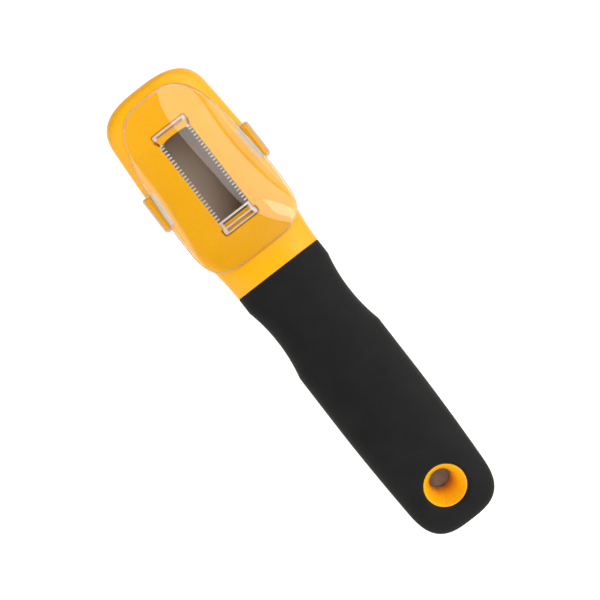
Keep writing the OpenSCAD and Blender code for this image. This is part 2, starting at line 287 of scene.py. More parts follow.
def cover_point(a, margin):
    """Point of the cover's outline at a turn a, from its middle, moved out by a margin."""
    n = cover_power(math.sin(a))
    up = float(power(math.sin(a), n))
    half = COVER_WIDTH / 2 - COVER_TAPER * max(0, up) + margin
    return half * float(power(math.cos(a), n)), (cover_reach(up) + margin) * up


def cover_half(along):
    """Half the width of the cover, by distance from its middle."""
    n, up = cover_power(along), along / cover_reach(along)
    half = COVER_WIDTH / 2 - COVER_TAPER * max(0, up)
    return half * max(0, 1 - abs(up) ** n) ** (1 / n)


def head_half(y):
    """Half the width of the head, before the tip is rounded; it carries the foot of the cover."""
    if y > WIDE_Y:
        return mix(HEAD_WIDTH, TIP_WIDTH, (y - WIDE_Y) / (TIP_START_Y - WIDE_Y)) / 2
    t = (y - COLLAR_Y) / (WIDE_Y - COLLAR_Y)
    flare = mix(smooth(t / FLARE_REACH), np.clip(t, 0, 1), FLARE_LEAD)
    half, cover = mix(COLLAR_WIDTH, HEAD_WIDTH, flare) / 2, cover_half(y - COVER_Y)
    return (half + cover + math.hypot(half - cover, SHOULDER_SOFT)) / 2


def head_top(y):
    """Height of the crest of the head, with the lip round the tip."""
    lip = LIP_HEIGHT * smooth((y - COLLAR_Y - COLLAR_SOLID) / (BLADE_Y - COLLAR_Y - COLLAR_SOLID))
    return mix(COLLAR_TOP, face(y) + lip, smooth((y - COLLAR_Y) / DISH_RUN))


def grip_section(y):
    """Half width, low and top of the grip, before the heel is rounded."""
    swell = smooth((COLLAR_Y - y) / (COLLAR_Y - FULL_Y))
    droop = max(0, (FULL_Y - y) / (FULL_Y - HEEL_START_Y)) ** DROOP_POWER
    radius = ((HOLLOW_LENGTH / 2) ** 2 + HOLLOW_DEPTH**2) / (2 * HOLLOW_DEPTH)
    hollow = max(0, math.sqrt(max(0, radius**2 - (y - HOLLOW_Y) ** 2)) - radius + HOLLOW_DEPTH)
    if y > FULL_Y:
        width, low, top = (
            mix(COLLAR_WIDTH, GRIP_WIDTH, swell),
            mix(COLLAR_LOW, 0, swell),
            mix(COLLAR_TOP, GRIP_THICKNESS, swell),
        )
    else:
        width, low, top = (
            mix(GRIP_WIDTH, HEEL_WIDTH, droop),
            mix(0, HEEL_LOW, droop),
            mix(GRIP_THICKNESS, HEEL_TOP, droop),
        )
    return width / 2 - hollow, low, top


def ring(y, half, low, waist, top, n, sides):
    """Oval across the tool, with separate upper and lower heights."""
    a = 2 * math.pi * (np.arange(sides) + 0.5) / sides
    rise = np.where(np.sin(a) > 0, top - waist, waist - low)
    x, z = half * power(np.cos(a), n), waist + rise * power(np.sin(a), n)
    return np.stack([x, np.full(sides, y), z], 1)


def head_ring(y, half, top):
    square = smooth((y - COLLAR_Y) / SQUARE_RUN)
    low = mix(COLLAR_LOW, -BELOW_BASE, square)
    waist = mix((COLLAR_TOP + COLLAR_LOW) / 2, HEAD_WAIST, square)
    return ring(y, half, low, waist, top, mix(GRIP_POWER, HEAD_POWER, square), RING_SIDES)


def grip_ring(y, half, low, top):
    return ring(y, half, low, (low + top) / 2, top, GRIP_POWER, RING_SIDES)


def new_object(name, points, faces):
    """Mesh object from points in millimetres."""
    mesh = bpy.data.meshes.new(name)
    mesh.from_pydata([tuple(p) for p in np.asarray(points) * MM], [], faces)
    obj = bpy.data.objects.new(name, mesh)
    bpy.context.scene.collection.objects.link(obj)
    fix = bmesh.new()
    fix.from_mesh(mesh)
    bmesh.ops.recalc_face_normals(fix, faces=fix.faces)
    fix.to_mesh(mesh)
    fix.free()
    return obj


def loft(name, rings):
    """Closed skin over rings with the same number of points."""
    sides = len(rings[0])
    last = len(rings) - 1
    faces = [list(range(sides)), [last * sides + i for i in range(sides)]]
    for r in range(last):
        for i in range(sides):
            a, b = r * sides + i, r * sides + (i + 1) % sides
            faces.append([a, b, b + sides, a + sides])
    return new_object(name, np.concatenate(rings), faces)


def dished_block(name, from_y, to_y, half, deep, shallow, steps=24):
    """Block across the tool between two depths below the dished face."""
    rings = []
    for y in np.linspace(from_y, to_y, steps + 1):
        low, high = face(y) - deep, face(y) - shallow
        rings.append(np.array([(x, y, z) for x, z in oblong(-half, half, low, high)]))
    return loft(name, rings)


def hoop(name, rows):
    """Closed skin over rows of points that meet again both along and across."""
    steps, count = len(rows), len(rows[0])
    faces = []
    for k in range(steps):
        for i in range(count):
            a, b = k * count + i, k * count + (i + 1) % count
            c, d = (k + 1) % steps * count + (i + 1) % count, (k + 1) % steps * count + i
            faces.append([a, b, c, d])
    return new_object(name, np.concatenate(rows), faces)


def lathe(name, profile, steps=128):
    """Closed ring turned from a closed profile of (radius, height) points."""
    turn = 2 * math.pi * np.arange(steps) / steps
    rows = [np.array([(r * math.cos(a), r * math.sin(a), z) for r, z in profile]) for a in turn]
    return hoop(name, rows)


def prism(name, plan, low, high):
    """Upright prism over a plan outline; its ends are at a height or at a function of y."""
    count = len(plan)
    points = [(x, y, end(y) if callable(end) else end) for end in (low, high) for x, y in plan]
    faces = [list(range(count)), list(range(count, 2 * count))]
    faces += [[i, (i + 1) % count, (i + 1) % count + count, i + count] for i in range(count)]
    return new_object(name, points, faces)


def oblong(from_x, to_x, from_y, to_y):
    """Plan outline of a rectangle."""
    return [(from_x, from_y), (to_x, from_y), (to_x, to_y), (from_x, to_y)]


def corner(x, y, radius, start, steps=6):
    """Quarter circle of a rounded corner, about x and y."""
    turn = np.radians(np.linspace(start, start + 90, steps))
    return [(x + radius * math.cos(a), y + radius * math.sin(a)) for a in turn]


def boolean(target, other, operation="DIFFERENCE"):
    """Applies other to target and deletes it."""
    modifier = target.modifiers.new("cut", "BOOLEAN")
    modifier.operation = operation
    modifier.solver = "EXACT"
    modifier.object = other
    graph = bpy.context.evaluated_depsgraph_get()
    mesh = bpy.data.meshes.new_from_object(target.evaluated_get(graph))
    target.modifiers.clear()
    target.data = mesh
    bpy.data.objects.remove(other)


def finish_piece(obj, material, body, node, crease=35):
    """Shading, material and place of a finished piece."""
    obj.data.materials.clear()
    obj.data.materials.append(material)
    obj.data.shade_smooth()
    obj.data.set_sharp_from_angle(angle=math.radians(crease))
    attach(obj, body)
    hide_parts(node)


# Core: head and collar

def head_form():
    """Outside of the head and collar, before anything is cut."""
    rings = [head_ring(COLLAR_Y, COLLAR_WIDTH / 2 - SEAM_GROOVE, COLLAR_TOP - SEAM_GROOVE)]
    for y in np.linspace(COLLAR_Y + SEAM_GROOVE, TIP_START_Y, 90):
        rings.append(head_ring(y, head_half(y), head_top(y)))
    for a in np.radians(np.linspace(2, 89.5, 44)):
        y = TIP_START_Y + TIP_ROUND * power(np.sin(a), TIP_POWER)
        roll = power(np.cos(a), TIP_ROLL_POWER)
        top = mix(FACE_HEIGHT - TIP_EDGE_DROP, head_top(y), roll)
        rings.append(head_ring(y, head_half(y) * power(np.cos(a), TIP_POWER), top))
    return loft("core_head", rings)


def head_hollow():
    """Cutter that leaves an even wall round the open back of the head."""
    low, sides = -BELOW_BASE - 1, HOLLOW_SIDES
    rings = []
    for y in np.linspace(COLLAR_Y + COLLAR_SOLID, TIP_START_Y, 50):
        top = face(y) - FACE_PLATE
        rings.append(ring(y, head_half(y) - HEAD_WALL, low, HEAD_WAIST, top, CAVITY_POWER, sides))
    for a in np.radians(np.linspace(2, 89, 30)):
        y = TIP_START_Y + (TIP_ROUND - HEAD_WALL) * power(np.sin(a), TIP_POWER)
        roll = power(np.cos(a), TIP_ROLL_POWER)
        top = mix(FACE_HEIGHT - TIP_EDGE_DROP, face(y), roll) - FACE_PLATE
        half = (head_half(y) - HEAD_WALL) * power(np.cos(a), TIP_POWER)
        rings.append(ring(y, half, low, HEAD_WAIST, top, CAVITY_POWER, sides))
    return loft("hollow", rings)


def cover_recess():
    """Cutter that opens the dished face under the cover."""
    high = 2 * COLLAR_TOP
    rings = []
    for a in np.radians(np.linspace(-89.5, 89.5, 120)):
        half, along = cover_point(a, COVER_GAP)
        y = COVER_Y + along
        rings.append(np.array([(x, y, z) for x, z in oblong(-half, half, face(y), high)]))
    return loft("recess", rings)


def window_relief(side):
    """Wedge that frees a corner of the window at the tip end."""
    far = BLADE_LENGTH / 2 - TIP_LOOP
    inner, outer = WINDOW_WIDTH / 2 - RELIEF_LAP, WINDOW_WIDTH / 2 + RELIEF_WIDTH
    plan = [(inner, far), (inner, far - RELIEF_LENGTH), (outer, far)]
    low = face(BLADE_Y + far) - RELIEF_DEPTH
    return prism("relief", [(side * x, BLADE_Y + y) for x, y in plan], low, low + CLEAR)


def loop_pocket(end):
    """Pocket round an end loop of the blade, open to the window."""
    gap = LOOP_GAP if end > 0 else FOOT_GAP
    half, far, radius = LOOP_WIDTH / 2 + gap, BLADE_LENGTH / 2 + gap, LOOP_CORNER + gap
    near = OPENING_LENGTH / 2 + NECK_LENGTH - LAP / 2
    plan = [(half, near), *corner(half - radius, far - radius, radius, 0)]
    plan += [(-x, y) for x, y in reversed(plan)]
    below = BLADE_DEPTH + BLADE_THICKNESS + SEAT_GAP if end > 0 else FOOT_DEPTH
    place = [(x, BLADE_Y + end * y) for x, y in plan]
    return prism("pocket", place, lambda y: face(y) - below, lambda y: face(y) + CLEAR)


def catch(side):
    """Bead on the side of the head that a clip of the cover closes over."""
    root, start = COVER_WIDTH / 2 - CATCH_ROOT, COVER_WIDTH / 2 + CATCH_START
    out, half = CLIP_OUTER - CLIP_WALL - SEAT_GAP, CATCH_LENGTH / 2
    low, top = FACE_HEIGHT - CATCH_DROP, FACE_HEIGHT + CATCH_RISE
    levels = (
        (low, CATCH_FOOT, root),
        (low + CATCH_FOOT_RISE, 0, root),
        (FACE_HEIGHT, 0, root),
        (FACE_HEIGHT + LAP / 2, 0, start),
        (top - CATCH_EDGE / 2, CATCH_EDGE / 4, start),
        (top, CATCH_EDGE, start),
    )
    rings = []
    for z, short, inner in levels:
        x, y = out - short, half - short / 2
        round_x, round_y = x - CATCH_CORNER, y - CATCH_CORNER
        plan = [(inner, -y), (round_x, -y), (x, -round_y), (x, round_y), (round_x, y), (inner, y)]
        rings.append(np.array([(side * x, CLIP_Y + y, z) for x, y in plan]))
    return loft("catch", rings)


def cut_blade_seat(head):
    """Window, pockets, rail seats, slot and wells that take the blade."""
    below = BLADE_DEPTH + BLADE_THICKNESS + SEAT_GAP
    half = OPENING_LENGTH / 2 + NECK_LENGTH
    boolean(head, dished_block("window", BLADE_Y - half, BLADE_Y + half, WINDOW_WIDTH / 2, below, -CLEAR))
    for end in (-1, 1):
        boolean(head, loop_pocket(end))
    half = OPENING_LENGTH / 2 + RAIL_OVER + SEAT_GAP
    rail = WINDOW_WIDTH / 2 + RAIL_WIDTH + SEAT_GAP
    above = BLADE_DEPTH - SEAT_GAP
    boolean(head, dished_block("seat", BLADE_Y - half, BLADE_Y + half, rail, below, above))
    near = BLADE_Y - OPENING_LENGTH / 2 - BAR_WIDTH - BAR_GAP
    far = BLADE_Y + OPENING_LENGTH / 2 + APRON_START - APRON_LAP
    boolean(head, dished_block("slot", near, far, WINDOW_WIDTH / 2, SLOT_DEPTH, BLADE_DEPTH))
    for place, opening in end_slots():
        from_y, to_y = BLADE_Y + place - opening / 2, BLADE_Y + place + opening / 2
        boolean(head, dished_block("well", from_y, to_y, SLOT_WIDTH / 2, WELL_DEPTH, BLADE_DEPTH, 4))


def make_core():
    """Head and collar, with the beads for the clips and the seat of the blade."""
    head = head_form()
    boolean(head, head_hollow())
    boolean(head, prism("base", oblong(-FAR, FAR, 0, 2 * FAR), -FAR / 3, 0))
    boolean(head, cover_recess())
    half = CLIP_LENGTH / 2 + COVER_GAP
    boolean(head, dished_block("clip_band", CLIP_Y - half, CLIP_Y + half, HEAD_WIDTH, 0, -FAR / 3))
    for side in (-1, 1):
        boolean(head, catch(side), "UNION")
        boolean(head, window_relief(side))
    cut_blade_seat(head)
    tongue = apron_layer(ARM_INNER - SEAT_GAP, FACE_PLATE - APRON_LAP, BLADE_DEPTH - APRON_LAP)
    bridge = apron_layer(APRON_WIDE / 2, BLADE_DEPTH - LAP, BLADE_DEPTH - APRON_RISE)
    for layer in (tongue, bridge):
        boolean(head, layer, "UNION")
    return head


def end_slots():
    """Distance from the blade's middle and opening of the closed slots at the ends of the blade."""
    tip = (BLADE_LENGTH - TIP_OPENING) / 2 - TIP_BAR
    loop = (BLADE_LENGTH - LOOP_LENGTH) / 2
    neck = OPENING_LENGTH / 2 + (NECK_LENGTH + BAR_WIDTH) / 2
    return (tip, TIP_OPENING), (-loop, SLOT_OPENING), (-neck, NECK_LENGTH - BAR_WIDTH)


def apron_edge(x):
    """Where the apron ends over the slot: an arch with slanting sides."""
    start = BLADE_Y + OPENING_LENGTH / 2 + APRON_START
    arch = APRON_ARCH * min(1, (2 * x / APRON_NARROW) ** 2)
    return start - arch + APRON_SLANT * max(0, abs(x) - APRON_NARROW / 2)


def apron_layer(half, deep, shallow):
    """Layer of the bridge over the blade's arms at the tip end, between two depths below the face."""
    far = BLADE_Y + BLADE_LENGTH / 2 - TIP_LOOP - SEAT_GAP
    rings = []
    for x in np.linspace(-half, half, 53):
        edge = [(apron_edge(x), deep), (far, deep), (far, shallow), (apron_edge(x), shallow)]
        rings.append(np.array([(x, y, face(y) - depth) for y, depth in edge]))
    return loft("apron", rings)


def hole_frame():
    """Where the leaning axis of the hang hole leaves the top of the grip."""
    top = grip_section(HOLE_Y)[2]
    return Matrix.Translation(Vector((0, HOLE_Y, top)) * MM) @ Matrix.Rotation(HOLE_TILT, 4, "X")


def make_eyelet():
    """Lining of the hang hole: a long flare, a straight bore and a short flare."""
    bore, mouth = HOLE_BORE / 2, HOLE_MOUTH / 2
    outer = mouth + EYELET_WALL
    swing = math.acos((bore + HOLE_FLARE - mouth) / HOLE_FLARE)
    start = -EYELET_RECESS - HOLE_FLARE * math.sin(swing)
    end = start - HOLE_STRAIGHT
    soft, rim_z = EYELET_WALL / 3, -EYELET_RECESS
    profile = [(outer, rim_z - soft), (outer - soft, rim_z), (mouth + soft / 2, rim_z)]
    for a in np.linspace(swing * EYELET_SWING, 0, 24):
        profile.append((bore + HOLE_FLARE * (1 - math.cos(a)), start + HOLE_FLARE * math.sin(a)))
    foot = math.acos((bore + FOOT_FLARE - outer) / FOOT_FLARE)
    for a in np.linspace(0, foot, 16):
        profile.append((bore + FOOT_FLARE * (1 - math.cos(a)), end - FOOT_FLARE * math.sin(a)))
    eyelet = lathe("core_eyelet", profile)
    eyelet.data.transform(hole_frame())
    foot_z = grip_section(HOLE_Y)[1] + EYELET_RECESS
    boolean(eyelet, prism("foot", oblong(-FAR / 2, FAR / 2, -2 * FAR, -FAR / 2), -FAR / 2, foot_z))
    return eyelet


# Grip

def grip_form():
    """Outside of the grip, with its finger hollows and round heel."""
    half, low, top = grip_section(COLLAR_Y)
    rings = [grip_ring(COLLAR_Y, half - SEAM_GROOVE, low + SEAM_GROOVE, top - SEAM_GROOVE)]
    front, back = HOLLOW_Y + HOLLOW_LENGTH / 2, HOLLOW_Y - HOLLOW_LENGTH / 2
    stations = np.concatenate([
        np.linspace(COLLAR_Y - SEAM_GROOVE, front, 10, endpoint=False),
        np.linspace(front, back, 48, endpoint=False),
        np.linspace(back, HEEL_START_Y, 70),
    ])
    for y in stations:
        rings.append(grip_ring(y, *grip_section(y)))
    for a in np.radians(np.linspace(2, 89.5, 44)):
        y = HEEL_START_Y - HEEL_ROUND * power(np.sin(a), HEEL_POWER)
        half, low, top = grip_section(y)
        middle, rise = (top + low) / 2, (top - low) / 2 * power(np.cos(a), HEEL_ROLL_POWER)
        rings.append(grip_ring(y, half * power(np.cos(a), HEEL_POWER), middle - rise, middle + rise))
    return loft("grip_skin", rings)


def make_grip():
    """Grip with the round-edged hole that the eyelet lines."""
    grip = grip_form()
    radius = HOLE_MOUTH / 2 + EYELET_WALL
    edge = -HOLE_CROWN - HOLE_EDGE
    profile = [(LAP / 2, CLEAR), (LAP / 2, -FAR), (radius, -FAR)]
    for a in np.linspace(0, HOLE_EDGE_TURN, 12):
        profile.append((radius + HOLE_EDGE * (1 - math.cos(a)), edge + HOLE_EDGE * math.sin(a)))
    profile += [(radius + 2 * HOLE_EDGE, 0), (radius + 4 * HOLE_EDGE, CLEAR)]
    cutter = lathe("grip_hole", profile)
    cutter.data.transform(hole_frame())
    boolean(grip, cutter)
    return grip


# Blade

def tooth_side(side):
    """Toothed edge of the cutting slot on one side, from the low end to the high end."""
    count = int(OPENING_LENGTH / TOOTH_PITCH)
    root = (TOOTH_PITCH - TOOTH_GULLET) / 2
    edge = side * OPENING_WIDTH / 2
    tip = side * (OPENING_WIDTH / 2 - TOOTH_LENGTH)
    points = [(edge, -OPENING_LENGTH / 2)]
    for i in range(count):
        y = (i - (count - 1) / 2) * TOOTH_PITCH + TOOTH_SHIFT
        points += [(edge, y - root), (tip, y - TOOTH_TIP / 2)]
        points += [(tip, y + TOOTH_TIP / 2), (edge, y + root)]
    points.append((edge, OPENING_LENGTH / 2))
    arm = OPENING_LENGTH / 2 + TOOTH_NECK, BLADE_LENGTH / 2 - TIP_LOOP
    return points + [(side * ARM_INNER, y) for y in arm]


def make_blade():
    """Stamped plate, bent to the dished face, with its upper edges bevelled."""
    rail_x, rail_y = WINDOW_WIDTH / 2 + RAIL_WIDTH, OPENING_LENGTH / 2 + RAIL_OVER
    loop_x, loop_y, radius = LOOP_WIDTH / 2, BLADE_LENGTH / 2, LOOP_CORNER
    round_x, foot_y, tip_y = loop_x - radius, LOOP_LENGTH - loop_y, loop_y - TIP_LOOP
    right = corner(round_x, radius - loop_y, radius, -90) + corner(round_x, foot_y - radius, radius, 0)
    right += [(FOOT_ARM, foot_y), (FOOT_ARM, -rail_y - RAIL_NECK)]
    right += [(rail_x, y) for y in np.linspace(-rail_y, rail_y, 28)]
    right += [(ARM_OUTER, rail_y + ARM_NECK), (ARM_OUTER, tip_y)]
    right += corner(round_x, tip_y + radius, radius, -90) + corner(round_x, loop_y - radius, radius, 0)
    outline = right + [(-x, y) for x, y in reversed(right)]
    slots = [tooth_side(1) + tooth_side(-1)[::-1]]
    for y, opening in end_slots():
        slots.append(oblong(-SLOT_WIDTH / 2, SLOT_WIDTH / 2, y - opening / 2, y + opening / 2))
    plan = bmesh.new()
    for loop in [outline, *slots]:
        verts = [plan.verts.new((x, y, 0)) for x, y in loop]
        for a, b in zip(verts, verts[1:] + verts[:1]):
            plan.edges.new((a, b))
    bmesh.ops.triangle_fill(plan, edges=plan.edges, use_beauty=True)
    walls = bmesh.ops.extrude_face_region(plan, geom=plan.faces)["geom"]
    for v in (g for g in walls if isinstance(g, bmesh.types.BMVert)):
        v.co.z -= BLADE_THICKNESS
    bmesh.ops.recalc_face_normals(plan, faces=plan.faces)
    sharp = [e for e in plan.edges if e.calc_face_angle(0) > STEEL_SHARP]
    upper = [e for e in sharp if all(v.co.z > -BLADE_THICKNESS / 2 for v in e.verts)]
    bmesh.ops.bevel(plan, geom=upper, offset=STEEL_BEVEL, segments=2, profile=0.5, affect="EDGES")
    for v in plan.verts:
        v.co.y += BLADE_Y
        v.co.z += float(face(v.co.y)) - BLADE_DEPTH
        v.co *= MM
    mesh = bpy.data.meshes.new("blade_steel")
    plan.to_mesh(mesh)
    plan.free()
    blade = bpy.data.objects.new("blade_steel", mesh)
    bpy.context.scene.collection.objects.link(blade)
    return blade


# Cover

def outline_turns():
    """Turns at which the cover's outline has its points."""
    return 2 * math.pi * np.arange(OUTLINE_SIDES) / OUTLINE_SIDES


def dome():
    """Shallow arch of an even wall on an upright skirt that follows the dished face."""
    count = 48
    plan = np.array([cover_point(a, 0) for a in outline_turns()])
    foot = face(COVER_Y + plan[:, 1]) + RIM_GAP

    def height(x, along):
        t = min(1, abs(x) / max(LAP, cover_half(along)))
        v = min(1, abs(along) / cover_reach(along))
        arch = ((1 - t**ARCH_POWER) * (1 - v**ARCH_RUN_POWER)) ** (1 / ARCH_EDGE_POWER)
        return mix(face(COVER_Y + along) + RIM_GAP + COVER_SKIRT, COVER_TOP, arch)

    outer = []
    for k in range(1, count + 1):
        share = math.sin(math.pi / 2 * k / count)
        z = [height(*(share * p)) for p in plan] if k < count else foot + COVER_SKIRT
        outer.append(np.column_stack([share * plan[:, 0], COVER_Y + share * plan[:, 1], z]))
    outer = np.array(outer)
    around = np.roll(outer, -1, 1) - np.roll(outer, 1, 1)
    normal = np.cross(np.gradient(outer, axis=0), around)
    skirt = np.column_stack([outer[-1, :, :2], foot + RIM_HEIGHT + PIECE_GAP])
    outer = np.concatenate([outer, [skirt]])
    normal = np.concatenate([normal, [normal[-1] * (1, 1, 0)]])
    normal /= np.linalg.norm(normal, axis=2, keepdims=True)
    normal *= np.sign((normal * (outer - [0, COVER_Y, 0])).sum(2, keepdims=True))
    inner = outer - COVER_SHELL * normal
    return loft("cover_clear", [*outer, *inner[::-1]])


def rim():
    """Edge under the foot of the dome, in matt beige that is painted refraction: it stands for light bent
    through clear plastic.
    """
    soft = RIM_WIDTH / 4
    profile = [(0, 0), (0, RIM_HEIGHT - soft), (-soft, RIM_HEIGHT)]
    profile += [(-RIM_WIDTH, RIM_HEIGHT), (-RIM_WIDTH, 0)]
    rows = []
    for a in outline_turns():
        row = []
        for margin, rise in profile:
            x, along = cover_point(a, margin)
            row.append((x, COVER_Y + along, face(COVER_Y + along) + RIM_GAP + rise))
        rows.append(np.array(row))
    return hoop("cover_rim", rows)


def clip_line(half, out, radius):
    """Plan of a clip's outside from one end to the other, by half its length and its reach."""
    root = [cover_half(CLIP_Y - COVER_Y + y) for y in (-half, half)]
    low = corner(out - radius, -half + radius, radius, -90)
    high = corner(out - radius, half - radius, radius, 0)
    return [(root[0], -half), *low, *high, (root[1], half)]


def make_clip(side, name):
    """Clear bridge of one clip, and its loop and rib in matt beige that is painted refraction: it stands
    for light bent through clear plastic.
    """
    half, along = CLIP_LENGTH / 2, CLIP_Y - COVER_Y
    seat = max(face(CLIP_Y - half), face(CLIP_Y + half))
    low, top = seat + SEAT_GAP, seat + SEAT_GAP + CLIP_BRIDGE
    inset = CLIP_END / 2
    bridge_plan = clip_line(half - inset, CLIP_OUTER - inset, CLIP_CORNER - inset)[1:-1]
    for y in np.linspace(half - inset, inset - half, 9):
        bridge_plan.append((cover_half(along + y) + PIECE_GAP, y))
    bridge = prism(f"cover_bridge_{name}", bridge_plan, low, top - PIECE_GAP)
    loop_plan = clip_line(half, CLIP_OUTER, CLIP_CORNER)
    loop_plan += clip_line(half - CLIP_END, CLIP_OUTER - CLIP_WALL, CLIP_CORNER - CLIP_WALL)[::-1]
    loop = prism(f"cover_loop_{name}", loop_plan, top - CLIP_DROP, top)
    rib_half, wide = half - RIB_END, CLIP_RIB / 2
    rib_plan = oblong(-wide, wide, -rib_half, rib_half)
    rib = prism(f"cover_rib_{name}", rib_plan, low, seat + COVER_GAP + COVER_WALL + CLIP_RISE)
    lean = math.atan((cover_half(along - half) - cover_half(along + half)) / CLIP_LENGTH)
    shift = Matrix.Translation(((cover_half(along) - RIB_INSET - wide) * MM, 0, 0))
    rib.data.transform(shift @ Matrix.Rotation(lean, 4, "Z"))
    place = Matrix.Diagonal((side, 1, 1, 1)) @ Matrix.Translation((0, CLIP_Y * MM, 0))
    for part in (bridge, loop, rib):
        part.data.transform(place)
        if side < 0:
            part.data.flip_normals()
    return bridge, loop, rib


def make_cover():
    """The clear dome, the thin clear bridges of its clips, and the rim, loops and ribs in matt beige that
    is painted refraction: it stands for light bent through clear plastic.
    """
    bridges, matt = [], [rim()]
    for side, name in ((-1, "left"), (1, "right")):
        bridge, loop, rib = make_clip(side, name)
        bridges.append(bridge)
        matt += [loop, rib]
    return [dome()], bridges, matt


# Materials

def shader(name, **values):
    """Material with one Principled shader, whose plain sockets take these values."""
    material = bpy.data.materials.new(name)
    material.use_nodes = True
    surface = material.node_tree.nodes["Principled BSDF"]
    for socket, value in values.items():
        surface.inputs[socket.replace("_", " ")].default_value = value
    return material, material.node_tree, surface


def noise(tree, per_mm, detail=3.0, stretch=(1, 1, 1)):
    """Noise in the piece's own frame, with this many cells to a millimetre."""
    place = tree.nodes.new("ShaderNodeTexCoord")
    scale = tree.nodes.new("ShaderNodeMapping")
    scale.inputs["Scale"].default_value = stretch
    texture = tree.nodes.new("ShaderNodeTexNoise")
    texture.inputs["Scale"].default_value = per_mm / MM
    texture.inputs["Detail"].default_value = detail
    tree.links.new(place.outputs["Object"], scale.inputs["Vector"])
    tree.links.new(scale.outputs["Vector"], texture.inputs["Vector"])
    return texture.outputs["Fac"]


def ranged(tree, value, from_range, to_range, kind="SMOOTHSTEP"):
    """Value mapped from one range to another."""
    node = tree.nodes.new("ShaderNodeMapRange")
    node.interpolation_type = kind
    for name, (low, high) in (("From", from_range), ("To", to_range)):
        node.inputs[f"{name} Min"].default_value = low
        node.inputs[f"{name} Max"].default_value = high
    tree.links.new(value, node.inputs["Value"])
    return node.outputs["Result"]


def combine(tree, operation, a, b):
    """Math node of two values, each a socket or a number."""
    node = tree.nodes.new("ShaderNodeMath")
    node.operation = operation
    for socket, value in zip(node.inputs, (a, b)):
        if isinstance(value, bpy.types.NodeSocket):
            tree.links.new(value, socket)
        else:
            socket.default_value = value
    return node.outputs[0]


def spread(tree, value, low, high, socket):
    """Feeds a socket with a noise value spread between low and high."""
    tree.links.new(ranged(tree, value, NOISE_RANGE, (low, high), "LINEAR"), socket)


def tint(tree, value, dark, light, socket):
    """Feeds a colour socket with a blend of two colours, by a value over the noise range."""
    node = tree.nodes.new("ShaderNodeValToRGB")
    for stop, position, colour in zip(node.color_ramp.elements, NOISE_RANGE, (dark, light)):
        stop.position = position
        stop.color = (*colour, 1)
    tree.links.new(value, node.inputs["Fac"])
    tree.links.new(node.outputs["Color"], socket)


def bump(tree, value, height, surface):
    """Relief of this height in millimetres."""
    node = tree.nodes.new("ShaderNodeBump")
    node.inputs["Distance"].default_value = height * MM
    node.inputs["Strength"].default_value = 1
    tree.links.new(value, node.inputs["Height"])
    tree.links.new(node.outputs["Normal"], surface.inputs["Normal"])


def yellow_plastic():
    material, tree, surface = shader("yellow_plastic", IOR=1.5, Specular_IOR_Level=0.3)
    dark, light = (0.945, 0.430, 0.005), (0.965, 0.448, 0.007)
    tint(tree, noise(tree, 0.05), dark, light, surface.inputs["Base Color"])
    spread(tree, noise(tree, 2.0), 0.24, 0.32, surface.inputs["Roughness"])
    bump(tree, noise(tree, 3.0), 0.003, surface)
    return material


def black_rubber():
    material, tree, surface = shader("black_rubber", Specular_IOR_Level=0.12)
    dark, light = (0.0112, 0.0112, 0.0112), (0.0142, 0.0142, 0.0142)
    tint(tree, noise(tree, 0.12), dark, light, surface.inputs["Base Color"])
    spread(tree, noise(tree, 1.2), 0.56, 0.68, surface.inputs["Roughness"])
    bump(tree, noise(tree, 4.5, 4.0), 0.02, surface)
    return material


def blade_steel():
    material, tree, surface = shader("ground_steel", Metallic=0.6)
    grain = noise(tree, 6.0, 4.0, (1, 0.06, 1))
    dark, light = (0.84, 0.78, 0.69), (0.95, 0.89, 0.80)
    tint(tree, grain, dark, light, surface.inputs["Base Color"])
    spread(tree, grain, 0.42, 0.55, surface.inputs["Roughness"])
    bump(tree, grain, 0.003, surface)
    return material


def pass_light(tree, surface, colour):
    """Lets lamps and scattered light shine through the surface, dimmed to this colour at each face."""
    through = tree.nodes.new("ShaderNodeBsdfTransparent")
    through.inputs["Color"].default_value = (*colour, 1)
    ray = tree.nodes.new("ShaderNodeLightPath").outputs
    lamp_ray = combine(tree, "MAXIMUM", ray["Is Shadow Ray"], ray["Is Diffuse Ray"])
    either = tree.nodes.new("ShaderNodeMixShader")
    tree.links.new(lamp_ray, either.inputs[0])
    tree.links.new(surface.outputs[0], either.inputs[1])
    tree.links.new(through.outputs[0], either.inputs[2])
    tree.links.new(either.outputs[0], tree.nodes["Material Output"].inputs["Surface"])


def clear_plastic(name, clarity):
    """Polished clear plastic; clarity is the share of lamp light that each face lets through."""
    material, tree, surface = shader(name, Transmission_Weight=1.0, IOR=1.45)
    surface.inputs["Base Color"].default_value = (1, 1, 1, 1)
    spread(tree, noise(tree, 0.4), 0.0, 0.02, surface.inputs["Roughness"])
    pass_light(tree, surface, (clarity, clarity, clarity))
    return material


def refraction_beige_plastic():
    material, tree, surface = shader("refraction_beige_plastic", Transmission_Weight=0.2, IOR=1.45)
    # Painted refraction: this beige stands for the grey-beige look of light bent through the edges of
    # clear plastic
    dark, light = (0.63, 0.51, 0.39), (0.69, 0.57, 0.44)
    tint(tree, noise(tree, 0.3), dark, light, surface.inputs["Base Color"])
    spread(tree, noise(tree, 1.5), 0.3, 0.45, surface.inputs["Roughness"])
    pass_light(tree, surface, (0.95, 0.93, 0.89))
    return material


# Stage, light and camera

def seen_directly(tree):
    """1 for camera, mirror and glass rays that no matt surface has scattered, else 0."""
    ray = tree.nodes.new("ShaderNodeLightPath").outputs
    mirror_or_glass = combine(tree, "MAXIMUM", ray["Is Glossy Ray"], ray["Is Transmission Ray"])
    direct = combine(tree, "MAXIMUM", ray["Is Camera Ray"], mirror_or_glass)
    return combine(tree, "MULTIPLY", direct, combine(tree, "LESS_THAN", ray["Diffuse Depth"], 0.5))


def openness(tree, reach):
    """Share of the view upwards that is free of pieces within this many millimetres."""
    shade = tree.nodes.new("ShaderNodeAmbientOcclusion")
    shade.inputs["Distance"].default_value = reach * MM
    return shade.outputs["AO"]


